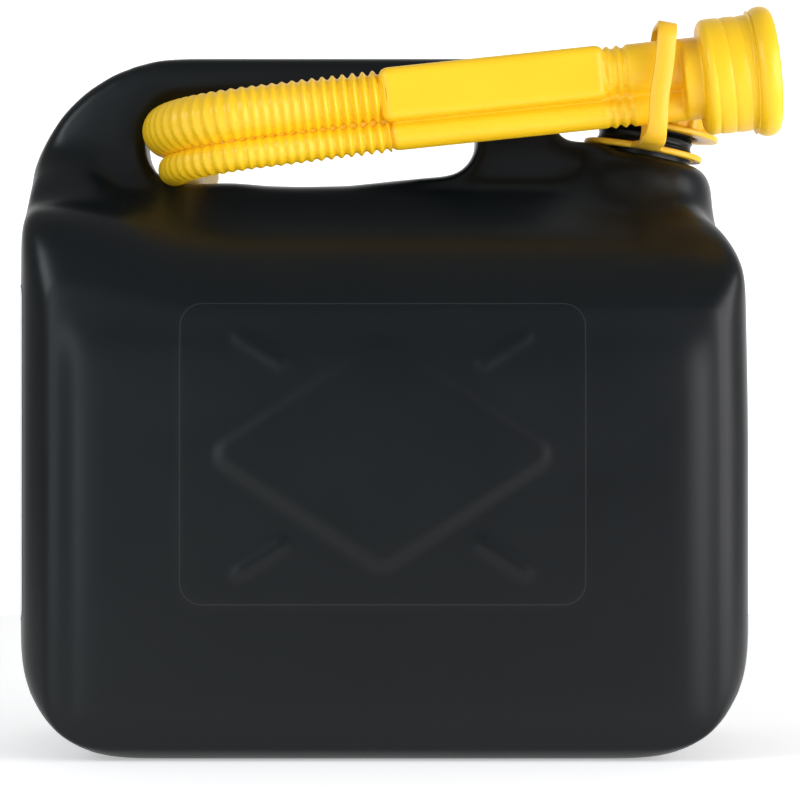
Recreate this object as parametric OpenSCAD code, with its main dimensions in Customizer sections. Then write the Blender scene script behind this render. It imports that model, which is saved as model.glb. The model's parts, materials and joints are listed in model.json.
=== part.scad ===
// Five-litre fuel can: a blow-moulded canister with a hand hole, a screw cap on a leaning neck,
// and a flexible spout stowed in a holder loop with its hooked end through the hand hole.
// Origin at the bottom centre of the canister, +X towards the neck, +Y to the rear, +Z up.

/* [Canister] */
// Length of the canister along X
body_l = 265; // [255:1:275]
// Depth of the canister along Y
body_d = 147; // [140:1:152]
// Height of the handle's top
body_h = 258.4; // [257:0.1:261]
// Wall thickness of the blown shell
wall = 2; // [1.8:0.1:2.6]
// Radius of the bottom corners, seen from the front
corner_r = 43; // [38:1:46]
// Rounding of the front and rear edges
edge_r = 20; // [16:1:22]
// Height at which the shoulder starts to slope
shoulder_z = 176; // [170:1:180]
// Height of the ridge under the hand hole
ridge_z = 207; // [205:1:208]
// Thickness of the handle, front to rear
handle_t = 34; // [30:1:36]

/* [Neck] */
// Distance of the neck's centre from the canister's centre
neck_x = 98.5; // [97:0.5:100]
// Height of the neck ring's mid-plane on the neck axis
neck_z = 224.6; // [224:0.1:225.5]
// Lean of the neck towards +X
neck_lean = 10; // [8:0.5:11]
// Outer radius of the neck's plain collar
collar_r = 17.6; // [17.4:0.1:17.8]
// Radius of the filler bore
bore_r = 14.5; // [13.5:0.1:15]
// Height of the neck's rim above the ring
rim_h = 24; // [23:0.5:25]
// Pitch of the neck thread
pitch = 4; // [3.8:0.1:4.2]

/* [Cap] */
// Radius of the cap's lower flange
flange_r = 27.5; // [26.5:0.1:27.6]
// Radius of the cap over its grip ribs
grip_r = 25.6; // [25:0.1:26]
// Number of grip ribs
ribs = 18; // [12:1:24]
// How far the outer shell can be pressed down
press = 1.6; // [1.2:0.1:1.8]

/* [Spout] */
// Distance of the spout's axis in front of the canister's middle
spout_y = 46; // [45.8:0.1:46.5]
// Rise of the spout towards the socket
spout_rise = 6; // [5:0.5:6.5]
// Radius of a crest of the main channel
crest_r = 9.9; // [9.5:0.1:10]
// Radius of a crest of the vent channel
vent_r = 6; // [5.5:0.1:6.2]
// Distance between the two channels' axes
channel_gap = 14.6; // [14:0.1:15]
// Depth of a bellows groove
groove = 1.4; // [1.1:0.1:1.6]
// Wall thickness of the spout
spout_wall = 1.3; // [1:0.1:1.5]
// Length of one bellows convolution
fold = 3.7; // [3.5:0.05:3.9]
// Radius of the hook's bend
bend_r = 29.5; // [29:0.5:30]
// Angle of the hook's bend
bend = 100; // [98:1:102]
// Length of the plain tip
tip_l = 48; // [40:1:52]

/* [Holder] */
// Outer radius of the ring round the neck
ring_r = 22.8; // [22:0.1:23]
// Thickness of the ring and of the loop's band
band_t = 2.2; // [1.8:0.1:2.3]
// Width of the loop's band
band_w = 6.2; // [5:0.1:7]

/* [Hidden] */
$fn = 48;
black = [0.12, 0.13, 0.15];
yellow = [0.98, 0.8, 0.1];
eps = 0.01;

// Tank
half_l = body_l / 2;
half_d = body_d / 2;
top_r = 30;              // corner radius of the tank's top
upper_left_z = 176;      // the left end stays upright up to here
upper_right_z = 164;     // the right end turns inwards lower down
// Handle
handle_arc = 58.8;       // radius of the handle's rear top corner
handle_left = -75.2;     // centre of that arc
post_x = 64;             // right face of the handle's right post
post_r = 28;             // its top corner
// Neck thread
neck_r = 17;
crest = 18.4;
core_bore = 19;
core_crest = 17.6;
thread_low = 11;
turns = 2.5;            // of the neck's thread; the cap has two
core_r = 21.4;
core_low = 9.6;
core_top = 28;
shell_low = 7.2;
shell_wall = 1.6;
gasket_t = 1.4;
// Spout
base_x = -1;             // where the bellows meets the barrel
base_z = 240.7;          // height of the main channel's axis there
barrel_l = 82.5;
ring_l = 16.5;           // three soft corrugations
tube_l = 18;
tube_r = 15;
socket_r = 20.1;
socket_l = 18.6;
lip_r = 23.9;
lip_l = 8.9;
tube_drop = 5.3;         // the round tube sits centrally over both channels
straight_fall = 7;       // slope of the straight bellows
bend_fall = 8;           // slope of the bend's plane
straight_folds = [5, 4, 4];
bend_links = 7;
gap = 0.8;               // free space between neighbouring bellows links
straight_l = fold * 13 + 3 * gap;
link_angle = bend / bend_links;
gap_angle = gap / bend_r * 180 / PI;

// ---- helpers ----
function arc(cx, cz, r, from, to, n = 12) =
    [for (i = [0:n]) let (a = from + (to - from) * i / n) [cx + r * cos(a), cz + r * sin(a)]];

// Rounded disc with its axis along Y
module pill(x, z, r, depth, edge) {
    translate([x, 0, z]) rotate([90, 0, 0]) rotate_extrude($fn = 32) intersection() {
        translate([0, -depth]) square([r, 2 * depth]);
        union() {
            translate([0, -depth]) square([r - edge, 2 * depth]);
            translate([0, -depth + edge]) square([r, 2 * (depth - edge)]);
            for (s = [-1, 1]) translate([r - edge, s * (depth - edge)]) circle(edge, $fn = 32);
        }
    }
}

// Solid form of the tank, drawn inwards by t
module tank(t) {
    hull() {
        for (s = [-1, 1]) {
            pill(s * (half_l - corner_r), corner_r, corner_r - t, half_d - t, edge_r - t);
            pill(s * (half_l - top_r), shoulder_z - top_r, top_r - t, half_d - t, edge_r - t);
        }
        pill(-half_l + top_r + 0.5, upper_left_z, top_r + 0.5 - t, 64 - t, edge_r - t);
        pill(half_l - 35, upper_right_z, 34 - t, 52 - t, edge_r - t);
        translate([-62, 0, ridge_z - 18]) rotate([0, 90, 0]) cylinder(r = 18 - t, h = 118, $fn = 32);
    }
}

// Side outline of the handle and of the bridge to the neck
module handle_outline() {
    polygon(concat(
        [[-131, 150], [-131.8, 206]],
        arc(handle_left, body_h - handle_arc, handle_arc, 165, 90, 16),
        arc(post_x - post_r, body_h - post_r, post_r, 90, 0, 12),
        arc(post_x + 5, 232, 5, 180, 250, 6),
        [[84, 226], [84, 170]]));
}

// Outline of the hand hole
module hand_hole() {
    polygon(concat(
        [[-40, 243]],
        arc(-79.5, 229.9, 13.2, 90, 180, 8),
        arc(-73.9, 224, 18, 186, 262, 8),
        [[-60, 210], [-35, 208.8], [-12, 209.2], [6, 212]],
        arc(21, 228.4, 14.6, -55, 90, 12)));
}

module along_y(depth) rotate([90, 0, 0]) linear_extrude(depth, center = true) children();

module neck_frame() translate([neck_x, 0, neck_z]) rotate([0, neck_lean, 0]) children();

// Helical ridge: root and tip radii, half widths there, first height, number of turns
module helix(root, tip, root_w, tip_w, low, n) {
    steps = 24;
    count = round(n * steps);
    // the ridge grows out of the wall and sinks back into it at its ends
    function reach(i) = root + (tip - root) * min(1, i / 4, (count - i) / 4);
    points = [for (i = [0:count]) let (a = 360 * i / steps, z = low + pitch * i / steps,
        r = reach(i), back = tip > root ? root - 0.3 : root + 0.3)
        for (p = [[back, -root_w], [r, -tip_w], [r, tip_w], [back, root_w]])
            [p[0] * cos(a), p[0] * sin(a), z + p[1]]];
    out = tip > root;
    faces = concat(
        [out ? [3, 2, 1, 0] : [0, 1, 2, 3]],
        [let (b = 4 * count) out ? [b, b + 1, b + 2, b + 3] : [b + 3, b + 2, b + 1, b]],
        [for (i = [0:count - 1], j = [0:3]) let (k = (j + 1) % 4, a = 4 * i + j, b = 4 * i + k)
            for (t = [[a, b, a + 4], [b, b + 4, a + 4]]) out ? t : [t[2], t[1], t[0]]]);
    polyhedron(points, faces);
}

// ---- canister ----
module canister_shell() color(black) difference() {
    union() {
        difference() {
            union() {
                tank(0);
                along_y(handle_t) handle_outline();
                neck_frame() boss(0);
            }
            difference() {
                union() {
                    tank(wall);
                    along_y(handle_t - 2 * wall) offset(delta = -wall) handle_outline();
                    neck_frame() boss(wall);
                }
                along_y(body_d) offset(delta = wall) hand_hole();
            }
        }
        neck_frame() translate([0, 0, -8]) cylinder(r = collar_r, h = 8 + shell_low - 0.4);
        neck_frame() translate([0, 0, -8]) cylinder(r = neck_r, h = 8 + rim_h);
        neck_frame() helix(neck_r, crest, 1, 0.5, thread_low, turns);
    }
    along_y(body_d) hand_hole();
    neck_frame() translate([0, 0, -20]) cylinder(r = bore_r, h = 20 + rim_h + 1);
}

// Domed boss under the neck, drawn inwards by t
module boss(t) rotate_extrude() polygon(concat(
    [[0, -60], [29 - t, -60]],
    arc(21, -11, 8 - t, 0, 90, 6),
    [[0, -3 - t]]));

module side_label() color([0.82, 0.83, 0.85])
    translate([-half_l - 0.4, -36, 50]) cube([0.4, 72, 122]);

// ---- spout holder ----
module spout_holder() color(yellow) neck_frame() {
    difference() {
        cylinder(r = ring_r, h = band_t, center = true);
        cylinder(r = collar_r + 0.4, h = band_t + 1, center = true);
    }
    // foot from the ring to the loop
    translate([-band_w / 2, -spout_y - 5, -band_t / 2]) cube([band_w, spout_y - 14, band_t]);
    // loop round the spout
    translate([-band_w / 2, 0, 0]) rotate([90, 0, 90]) linear_extrude(band_w) difference() {
        loop_outline(0);
        loop_outline(1.6);
    }
}

// Loop seen along the spout, drawn inwards by t
module loop_outline(t) {
    front = -spout_y - 18;
    rear = -spout_y + 17.5;
    polygon(concat(
        arc(front + 9, 7.9, 9 - t, 180, 270, 6),
        arc(rear - 4, 2.9, 4 - t, 270, 360, 6),
        arc(rear - 9, 33.4, 9 - t, 0, 90, 6),
        arc(front + 9, 33.4, 9 - t, 90, 180, 6)));
}

// ---- cap ----
module cap_shell() color(yellow) neck_frame() {
    top = core_top + press;
    difference() {
        union() {
            translate([0, 0, shell_low]) cylinder(r = flange_r, h = 2);
            translate([0, 0, shell_low]) cylinder(r = grip_r - 1.4, h = top + shell_wall - shell_low);
            for (i = [0:ribs - 1]) rotate([0, 0, 360 / ribs * i])
                translate([grip_r - 2.5, -1.5, shell_low]) cube([2.5, 3, top - shell_low - 0.4]);
        }
        translate([0, 0, core_low - 0.3]) cylinder(r = core_r + 0.4, h = top - core_low + 0.3);
        translate([0, 0, shell_low - 1]) cylinder(r = core_bore + 0.9, h = 4);
    }
    // drive lugs, which drop into the core's pockets when the shell is pressed
    for (i = [0:3]) rotate([0, 0, 90 * i]) translate([10, -2, core_top + 0.3])
        cube([7, 4, press - 0.3 + eps]);
}

module cap_core() color([0.9, 0.72, 0.1]) neck_frame() {
    difference() {
        translate([0, 0, core_low]) cylinder(r = core_r, h = core_top - core_low);
        translate([0, 0, core_low - 1]) cylinder(r = core_bore, h = rim_h + gasket_t - core_low + 1);
        for (i = [0:3]) rotate([0, 0, 90 * i]) translate([9.6, -2.4, core_top - 1.5])
            cube([7.8, 4.8, 3]);
    }
    helix(core_bore, core_crest, 1, 0.5, thread_low + pitch / 2, 2);
}

module cap_gasket() color([0.2, 0.2, 0.2]) neck_frame() translate([0, 0, rim_h]) difference() {
    cylinder(r = 18.4, h = gasket_t);
    translate([0, 0, -1]) cylinder(r = 8, h = gasket_t + 2);
}

// ---- spout ----
// Frame on the main channel's axis at the foot of the barrel, +X' towards the socket
module spout_frame() translate([base_x, -spout_y, base_z]) rotate([0, -spout_rise, 0]) children();

// Both channels in section, drawn inwards by t; x is up
module channels(t) {
    circle(crest_r - t);
    translate([-channel_gap, 0]) circle(vent_r - t);
}

// Both channels with the web between them
module barrel_section() {
    channels(0);
    translate([-channel_gap, -3.2]) square([channel_gap, 6.4]);
}

// Straight length along +X', starting at x
module straight(x, l) translate([x, 0, 0]) rotate([0, 90, 0]) mirror([1, 0, 0])
    linear_extrude(l) children();

module spout_socket() color(yellow) spout_frame() {
    start = barrel_l + ring_l;
    translate([start, 0, -tube_drop]) rotate([0, 90, 0]) rotate_extrude() polygon(concat(
        [[tube_r, 0], [tube_r, tube_l - 2]],
        [[socket_r - 1.5, tube_l], [socket_r, tube_l + 1.5], [socket_r, tube_l + socket_l]],
        arc(lip_r - 2.6, tube_l + socket_l + 3.6, 2.6, -60, 90, 8),
        [[lip_r - 4, tube_l + socket_l + lip_l], [lip_r - 5, tube_l + socket_l + lip_l]],
        [[socket_r - spout_wall, tube_l + socket_l + 3], [socket_r - spout_wall, tube_l + 2]],
        [[tube_r - spout_wall, tube_l], [tube_r - spout_wall, 0]]));
}

module spout_washer() color([0.2, 0.2, 0.2]) spout_frame()
    translate([barrel_l + ring_l + tube_l + 2, 0, -tube_drop]) rotate([0, 90, 0]) difference() {
        cylinder(r = socket_r - spout_wall - 0.05, h = 2);
        translate([0, 0, -1]) cylinder(r = tube_r - spout_wall, h = 4);
    }

module spout_barrel() color(yellow) spout_frame() {
    difference() {
        union() {
            straight(0, barrel_l) barrel_section();
            // three soft corrugations under the round tube
            for (i = [0:2]) translate([barrel_l + 1.5 + 5 * i, 0, -tube_drop])
                rotate([0, 90, 0]) cylinder(r = tube_r, h = 3);
            translate([barrel_l - 1, 0, -tube_drop]) rotate([0, 90, 0])
                cylinder(r = tube_r - 1.4, h = ring_l + 1);
        }
        straight(-1, barrel_l) channels(spout_wall);
        translate([barrel_l - 1.5, 0, -tube_drop]) rotate([0, 90, 0])
            cylinder(r = tube_r - 1.4 - spout_wall, h = ring_l + 3);
    }
}

// Frame at the foot of the straight bellows, +X' towards the barrel
module straight_frame() translate([base_x, -spout_y, base_z]) rotate([0, -straight_fall, 0]) children();

// A straight group of n convolutions whose right end is at x
module straight_link(x, n) difference() {
    union() {
        straight(x - n * fold, n * fold) channels(groove);
        for (i = [0:n - 1]) straight(x - (i + 0.75) * fold, fold / 2) channels(0);
    }
    straight(x - n * fold - 1, n * fold + 2) channels(groove + spout_wall);
}

// Frame of the bend, its Z axis is the bend's axis
module bend_frame() translate([
    base_x - straight_l * cos(straight_fall), -spout_y, base_z - straight_l * sin(straight_fall)])
    rotate([0, -bend_fall, 0]) translate([0, bend_r, 0]) children();

// Part of the bend from angle a over b, going round from the front to the left end
module round_part(a, b) rotate([0, 0, 270 - a - b]) rotate_extrude(angle = b, $fn = 96)
    translate([bend_r, 0]) rotate(90) children();

module bend_link(i) {
    from = i * link_angle + gap_angle;
    span = link_angle - gap_angle;
    difference() {
        union() {
            round_part(from, span) channels(groove);
            for (k = [0, 1]) round_part(from + span * (0.125 + 0.5 * k), span / 4) channels(0);
        }
        round_part(from - 1, span + 2) channels(groove + spout_wall);
    }
}

module straight_bellows(i) color(yellow) straight_frame()
    straight_link(-fold * (i == 0 ? 0 : i == 1 ? 5 : 9) - gap * (i + 1), straight_folds[i]);

module bend_bellows(i) color(yellow) bend_frame() bend_link(i);

module spout_tip() color(yellow) bend_frame() rotate([0, 0, 180 - (bend - 90) - gap_angle])
    translate([bend_r, 0, 0]) rotate([90, 0, 0]) mirror([0, 0, 1]) tip_tube();

// The tip's tube, running along the bend's last direction
module tip_tube() rotate([0, 0, 90]) mirror([0, 0, 1]) difference() {
    union() {
        linear_extrude(tip_l) channels(groove);
        linear_extrude(tip_l - 4) translate([-channel_gap, -2.5]) square([channel_gap, 5]);
    }
    translate([0, 0, -1]) linear_extrude(tip_l + 2) channels(groove + spout_wall);
}

canister_shell();
side_label();
spout_holder();
cap_shell();
cap_core();
cap_gasket();
spout_socket();
spout_washer();
spout_barrel();
straight_bellows(0);  // bellows_01
straight_bellows(1);  // bellows_02
straight_bellows(2);  // bellows_03
bend_bellows(0);  // bellows_04
bend_bellows(1);  // bellows_05
bend_bellows(2);  // bellows_06
bend_bellows(3);  // bellows_07
bend_bellows(4);  // bellows_08
bend_bellows(5);  // bellows_09
bend_bellows(6);  // bellows_10
spout_tip();
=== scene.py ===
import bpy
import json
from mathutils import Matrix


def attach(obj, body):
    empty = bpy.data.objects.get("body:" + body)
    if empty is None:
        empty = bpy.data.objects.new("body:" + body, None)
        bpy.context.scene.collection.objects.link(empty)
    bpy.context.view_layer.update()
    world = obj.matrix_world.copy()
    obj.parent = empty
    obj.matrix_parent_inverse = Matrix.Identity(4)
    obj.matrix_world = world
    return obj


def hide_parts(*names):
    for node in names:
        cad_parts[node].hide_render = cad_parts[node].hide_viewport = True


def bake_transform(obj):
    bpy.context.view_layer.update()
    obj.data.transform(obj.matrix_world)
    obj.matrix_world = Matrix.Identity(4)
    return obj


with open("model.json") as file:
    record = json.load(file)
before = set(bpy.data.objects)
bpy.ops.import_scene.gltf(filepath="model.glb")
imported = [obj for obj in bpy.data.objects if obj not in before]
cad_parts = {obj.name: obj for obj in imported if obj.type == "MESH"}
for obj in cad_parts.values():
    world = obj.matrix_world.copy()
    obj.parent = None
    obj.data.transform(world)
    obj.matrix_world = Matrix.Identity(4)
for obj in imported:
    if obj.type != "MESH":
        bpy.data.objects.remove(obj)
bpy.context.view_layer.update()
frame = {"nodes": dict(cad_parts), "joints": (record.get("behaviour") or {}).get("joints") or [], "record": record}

import json
import math

import bmesh
import bpy
from mathutils import Matrix, Vector

mm = 0.001


# ---- small helpers ----
def jointNamed(name):
    return next(joint for joint in frame["joints"] if joint["name"] == name)


def smoothStep(low, high, value):
    t = min(1.0, max(0.0, (value - low) / (high - low)))
    return t * t * (3 - 2 * t)


def newObject(bm, name, smooth=True):
    mesh = bpy.data.meshes.new(name)
    bm.to_mesh(mesh)
    bm.free()
    for polygon in mesh.polygons:
        polygon.use_smooth = smooth
    piece = bpy.data.objects.new(name, mesh)
    bpy.context.scene.collection.objects.link(piece)
    return piece


def applyModifiers(piece):
    # bake the modifier stack into the mesh
    graph = bpy.context.evaluated_depsgraph_get()
    baked = bpy.data.meshes.new_from_object(piece.evaluated_get(graph), depsgraph=graph)
    piece.modifiers.clear()
    old = piece.data
    piece.data = baked
    bpy.data.meshes.remove(old)
    return piece


def dropObject(piece):
    mesh = piece.data
    bpy.data.objects.remove(piece)
    bpy.data.meshes.remove(mesh)


def addBoolean(piece, other, operation):
    modifier = piece.modifiers.new(operation.lower(), "BOOLEAN")
    modifier.operation = operation
    modifier.object = other
    modifier.solver = "EXACT"


def joinInto(target, others):
    bm = bmesh.new()
    bm.from_mesh(target.data)
    for other in others:
        bm.from_mesh(other.data)
        dropObject(other)
    bm.to_mesh(target.data)
    bm.free()


def bevelEdges(bm, edges, radius, segments=10):
    bmesh.ops.bevel(bm, geom=edges, offset=radius, offset_type="OFFSET", affect="EDGES",
                    segments=segments, profile=0.5, material=-1, clamp_overlap=True)


def prism(outline, low, high, place):
    # outline in two coordinates, pushed from low to high; place turns (a, b, depth) into a point
    bm = bmesh.new()
    face = bm.faces.new([bm.verts.new(place(a, b, low)) for a, b in outline])
    grown = bmesh.ops.extrude_face_region(bm, geom=[face])
    moved = [v for v in grown["geom"] if isinstance(v, bmesh.types.BMVert)]
    bmesh.ops.translate(bm, verts=moved, vec=place(0, 0, high) - place(0, 0, low))
    bmesh.ops.recalc_face_normals(bm, faces=bm.faces)
    return bm


def arcPoints(cx, cy, radius, start, end, count=14):
    steps = [math.radians(start + (end - start) * i / count) for i in range(count + 1)]
    return [(cx + radius * math.cos(a), cy + radius * math.sin(a)) for a in steps]


def spinProfile(profile, segments=96):
    # profile of (radius, height) pairs, spun round Z
    bm = bmesh.new()
    verts = [bm.verts.new((r, 0, z)) for r, z in profile]
    edges = [bm.edges.new(pair) for pair in zip(verts, verts[1:])]
    bmesh.ops.spin(bm, geom=verts + edges, cent=(0, 0, 0), axis=(0, 0, 1), dvec=(0, 0, 0),
                   angle=2 * math.pi, steps=segments, use_merge=True, use_duplicate=False)
    bmesh.ops.remove_doubles(bm, verts=bm.verts, dist=1e-6)
    return bm


def frontPlace(a, b, depth):
    return Vector((a, depth, b))


def sidePlace(a, b, depth):
    return Vector((depth, a, b))


def topPlace(a, b, depth):
    return Vector((a, b, depth))


# ---- canister ----
canister = {
    "halfLength": 132.5 * mm,
    "halfDepth": 73.5 * mm,
    "cornerRadius": 43 * mm,      # bottom corners seen from the front
    "edgeRadius": 27 * mm,        # upright edges
    "baseRadius": 16 * mm,
    "shoulder": 174 * mm,         # crease between the front and the shoulder
    "creaseRadius": 34 * mm,
    "ridge": 209 * mm,
    "ridgeHalf": 20 * mm,
    "handleTop": 258.5 * mm,
    "handleArc": 58.9 * mm,
    "handleCentre": -75.2 * mm,
    "handleHalf": 18 * mm,
    "handleRound": 9 * mm,
    "creaseRise": 14 * mm,        # how far the crease climbs at the handle's end
    "voxel": 1.7 * mm,
    "coarseVoxel": 2.6 * mm,
    "swell": 0.008,            # how much the right end bellies out
    "easeRounds": 36,
}


def handleOutline():
    c = canister
    post = 64.6 * mm
    return ([(-132.4 * mm, 150 * mm), (-132.4 * mm, 204 * mm), (-131.8 * mm, 210 * mm)]
            + arcPoints(c["handleCentre"], c["handleTop"] - c["handleArc"], c["handleArc"], 165, 90, 20)
            + arcPoints(post - 28 * mm, c["handleTop"] - 28 * mm, 28 * mm, 90, 0, 14)
            + arcPoints(post + 6 * mm, 233 * mm, 6 * mm, 180, 250, 6)
            + [(84 * mm, 227 * mm), (84 * mm, 170 * mm)])


def holeOutline():
    return ([(-40 * mm, 242.4 * mm)] + arcPoints(-76.8 * mm, 229.6 * mm, 13.2 * mm, 90, 180, 10)
            + arcPoints(-76.2 * mm, 224.8 * mm, 13.5 * mm, 186, 262, 10)
            + [(-66 * mm, 211.2 * mm), (-60 * mm, 212 * mm), (-54 * mm, 211.6 * mm), (-45 * mm, 210.6 * mm),
               (-31 * mm, 210.2 * mm), (-12 * mm, 210.6 * mm), (2 * mm, 212.4 * mm)]
            + arcPoints(20.5 * mm, 227.8 * mm, 14.6 * mm, -65, 90, 14))


def tankSolid():
    c = canister
    hl, hd = c["halfLength"], c["halfDepth"]
    # seen from the front
    front = prism([(-hl, 0), (hl, 0), (hl, c["ridge"]), (-hl, c["ridge"])], -90 * mm, 90 * mm, frontPlace)
    front.edges.ensure_lookup_table()
    long = [e for e in front.edges if abs(e.verts[0].co.y - e.verts[1].co.y) > 0.1]
    bevelEdges(front, [e for e in long if e.verts[0].co.z < 0.01], c["cornerRadius"], 24)
    long = [e for e in front.edges if abs(e.verts[0].co.y - e.verts[1].co.y) > 0.1
            and e.verts[0].co.z > 0.2]
    bevelEdges(front, [e for e in long if e.verts[0].co.x > 0], 40 * mm, 20)
    long = [e for e in front.edges if abs(e.verts[0].co.y - e.verts[1].co.y) > 0.1
            and e.verts[0].co.z > 0.2 and e.verts[0].co.x < -0.13]
    bevelEdges(front, long, 5 * mm, 6)
    frontPiece = newObject(front, "frontPrism")
    # seen from the end
    side = prism([(-hd, 0), (hd, 0), (hd, c["shoulder"]), (c["ridgeHalf"], c["ridge"]),
                  (-c["ridgeHalf"], c["ridge"]), (-hd, c["shoulder"])], -0.15, 0.15, sidePlace)
    long = [e for e in side.edges if abs(e.verts[0].co.x - e.verts[1].co.x) > 0.1]
    bevelEdges(side, [e for e in long if e.verts[0].co.z < 0.01], c["baseRadius"], 12)
    long = [e for e in side.edges if abs(e.verts[0].co.x - e.verts[1].co.x) > 0.1
            and abs(e.verts[0].co.z - c["shoulder"]) < 1e-5]
    bevelEdges(side, long, c["creaseRadius"], 12)
    sidePiece = newObject(side, "sidePrism")
    # seen from above
    top = prism([(-hl, -hd), (hl, -hd), (hl, hd), (-hl, hd)], -0.01, 0.3, topPlace)
    upright = [e for e in top.edges if abs(e.verts[0].co.z - e.verts[1].co.z) > 0.1]
    bevelEdges(top, upright, c["edgeRadius"], 16)
    topPiece = newObject(top, "topPrism")
    addBoolean(frontPiece, sidePiece, "INTERSECT")
    addBoolean(frontPiece, topPiece, "INTERSECT")
    applyModifiers(frontPiece)
    dropObject(sidePiece)
    dropObject(topPiece)
    remesh(frontPiece, c["coarseVoxel"], 4)
    # the crease between front and shoulder climbs towards the handle's rear end
    for v in frontPiece.data.vertices:
        x, y, z = v.co
        lift = smoothStep(-62 * mm, -118 * mm, x) * c["creaseRise"]
        lift *= smoothStep(20 * mm, 62 * mm, abs(y)) * smoothStep(140 * mm, 178 * mm, z)
        v.co.z = z + lift
        v.co.x = max(x, -endReach(z + lift))
    return frontPiece


def endReach(z):
    # how far the left end stands out at a height: the tank's end flows into the handle's rear curve
    c = canister
    rise = max(0, z - (c["handleTop"] - c["handleArc"]))
    arc = -c["handleCentre"] + math.sqrt(max(c["handleArc"] ** 2 - rise ** 2, 0))
    return min(c["halfLength"], arc + 3.2 * mm * smoothStep(216 * mm, 196 * mm, z))


def remesh(piece, size, rounds):
    voxels = piece.modifiers.new("voxels", "REMESH")
    voxels.mode = "VOXEL"
    voxels.voxel_size = size
    voxels.use_smooth_shade = True
    if rounds:
        ease = piece.modifiers.new("ease", "SMOOTH")
        ease.factor = 0.5
        ease.iterations = rounds
    return applyModifiers(piece)


def handleSolid():
    c = canister
    slab = prism(handleOutline(), -c["handleHalf"], c["handleHalf"], frontPlace)
    rim = [e for e in slab.edges if abs(e.verts[0].co.y - e.verts[1].co.y) < 1e-6]
    bevelEdges(slab, rim, c["handleRound"], 6)
    piece = newObject(slab, "handleSlab")
    hole = newObject(prism(holeOutline(), -0.06, 0.06, frontPlace), "holePrism")
    addBoolean(piece, hole, "DIFFERENCE")
    applyModifiers(piece)
    dropObject(hole)
    return piece


neckJoint = jointNamed("holder_swing")
neckAxis = Vector(neckJoint["axis"])
neckFrame = (Matrix.Translation(neckJoint["pos_m"])
             @ Vector((0, 0, 1)).rotation_difference(neckAxis).to_matrix().to_4x4())


def bossSolid():
    # the domed boss under the neck
    profile = ([(0, -60 * mm), (42 * mm, -60 * mm), (33 * mm, -25 * mm)]
               + arcPoints(19.6 * mm, -12 * mm, 9.4 * mm, -14, 90, 10) + [(0, -2.6 * mm)])
    bm = spinProfile(profile, 64)
    bmesh.ops.recalc_face_normals(bm, faces=bm.faces)
    bmesh.ops.transform(bm, matrix=neckFrame, verts=bm.verts)
    return newObject(bm, "bossSolid")


def rearFillet():
    # body between the tank's shoulder and the handle's rear post
    bm = bmesh.new()
    for x, halfWidth, z in ((-132.3, 47, 190), (-132.3, 50, 176), (-82, 60, 176), (-131.4, 36, 207),
                            (-110, 38, 203), (-128.6, 15, 225), (-113, 15, 225)):
        for side in (-1, 1):
            bm.verts.new((x * mm, side * halfWidth * mm, z * mm))
    bmesh.ops.convex_hull(bm, input=bm.verts)
    bmesh.ops.recalc_face_normals(bm, faces=bm.faces)
    return newObject(bm, "rearFillet")


relief = {
    "centre": 110.7 * mm,         # height of the panel's middle
    "diamondHalf": (62 * mm, 41.5 * mm),
    "diamondRise": 0.75 * mm,
    "diamondSlope": 5.2 * mm,
    "barRise": 0.6 * mm,
    "barHalf": 2.6 * mm,
    "bar": ((36 * mm, 32.5 * mm), (51 * mm, 42 * mm)),
    "panelHalf": (72.6 * mm, 53.9 * mm),
    "panelCorner": 8 * mm,
    "panelRise": 0.12 * mm,
    "sink": 2.1 * mm,          # how far the broad sides lie inside the box
}


def roundedDistance(x, z, halfX, halfZ, corner):
    qx, qz = abs(x) - halfX + corner, abs(z) - halfZ + corner
    return math.hypot(max(qx, 0), max(qz, 0)) + min(max(qx, qz), 0) - corner


def reliefHeight(x, z):
    r = relief
    ax, az = abs(x), abs(z)
    a, b = r["diamondHalf"]
    corner = 5 * mm
    a, b = a - corner * 1.6, b - corner * 1.2
    # distance from the diamond's edge, rounded at its points
    edge = (ax * b + az * a - a * b) / math.hypot(a, b)
    if edge > 0:
        # nearest place on the side, or one of its ends
        t = min(1, max(0, ((a - ax) * a + az * b) / (a * a + b * b)))
        edge = math.hypot(ax - a + t * a, az - t * b)
    slope = r["diamondSlope"] / 2
    height = r["diamondRise"] * smoothStep(corner + slope, corner - slope, edge)
    (x0, z0), (x1, z1) = r["bar"]
    dx, dz = x1 - x0, z1 - z0
    t = min(1, max(0, ((ax - x0) * dx + (az - z0) * dz) / (dx * dx + dz * dz)))
    away = math.hypot(ax - x0 - t * dx, az - z0 - t * dz)
    height = max(height, r["barRise"] * smoothStep(r["barHalf"] + 1.6 * mm, r["barHalf"] - 2.6 * mm, away))
    panel = roundedDistance(x, z, *r["panelHalf"], r["panelCorner"])
    height += r["panelRise"] * smoothStep(0.9 * mm, -0.9 * mm, panel)
    return height


def easeFillets(piece):
    # extra smoothing where the handle's rear post and the boss run into the tank
    group = piece.vertex_groups.new(name="fillets")
    for v in piece.data.vertices:
        x, z = v.co.x, v.co.z
        rear = smoothStep(-86 * mm, -100 * mm, x)
        rear *= smoothStep(164 * mm, 182 * mm, z) * smoothStep(240 * mm, 222 * mm, z)
        boss = smoothStep(58 * mm, 72 * mm, x)
        boss *= smoothStep(170 * mm, 186 * mm, z) * smoothStep(222 * mm, 210 * mm, z)
        if max(rear, boss) > 0:
            group.add([v.index], max(rear, boss), "REPLACE")
    ease = piece.modifiers.new("fillets", "SMOOTH")
    ease.vertex_group = "fillets"
    ease.factor = 0.5
    ease.iterations = canister["easeRounds"]
    applyModifiers(piece)
    piece.vertex_groups.clear()


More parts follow.
